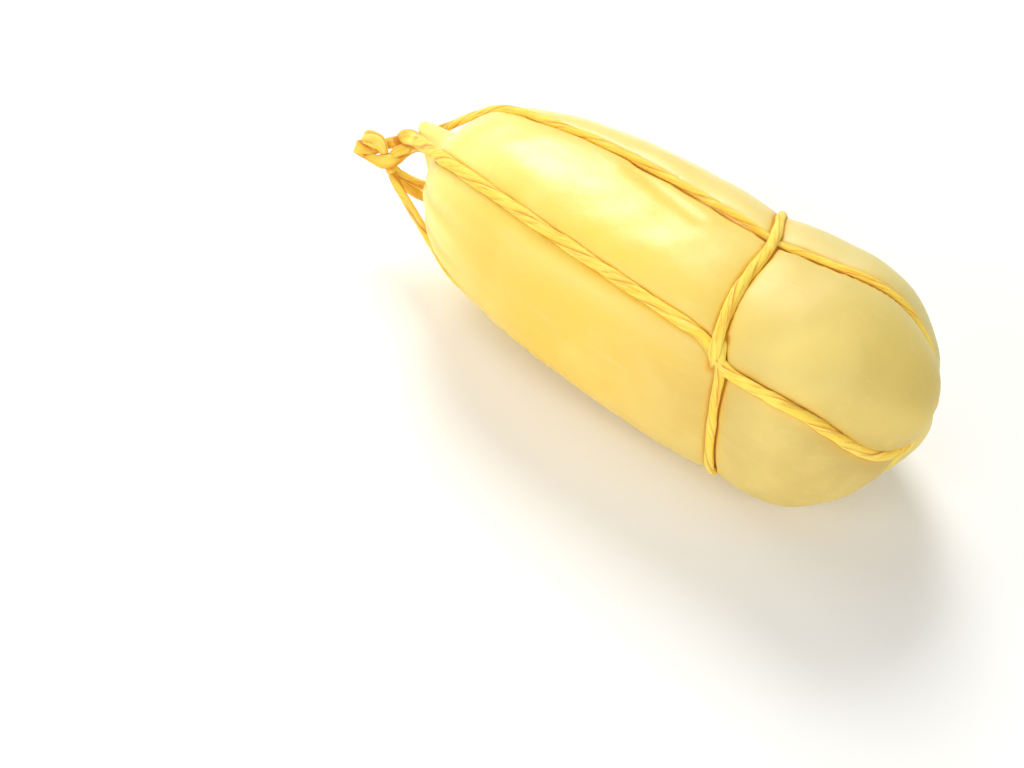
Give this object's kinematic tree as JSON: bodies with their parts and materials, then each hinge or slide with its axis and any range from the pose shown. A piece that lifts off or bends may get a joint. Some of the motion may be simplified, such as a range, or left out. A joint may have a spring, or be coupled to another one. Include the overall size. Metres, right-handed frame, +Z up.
{
  "type": "caciocavallo cheese",
  "caption": "Long smooth stretched-curd cheese lying on its side, tied lengthwise and belted with twisted paper string that is knotted at the neck.",
  "frame": {"origin": "on the table, under the middle of the bounding box of cheese, string and knot", "axes": "+X along the cheese from the knotted neck to the blunt far end, +Y to the back, +Z up"},
  "size_m": [0.2022, 0.0738, 0.0725],
  "materials": {
    "cheese": "waxy",
    "string": "matt twisted paper"
  },
  "bodies": {
    "root": {"cheese": "cheese", "string_over": "string", "string_across": "string", "belt": "string", "knot": "string"}
  },
  "joints": []
}
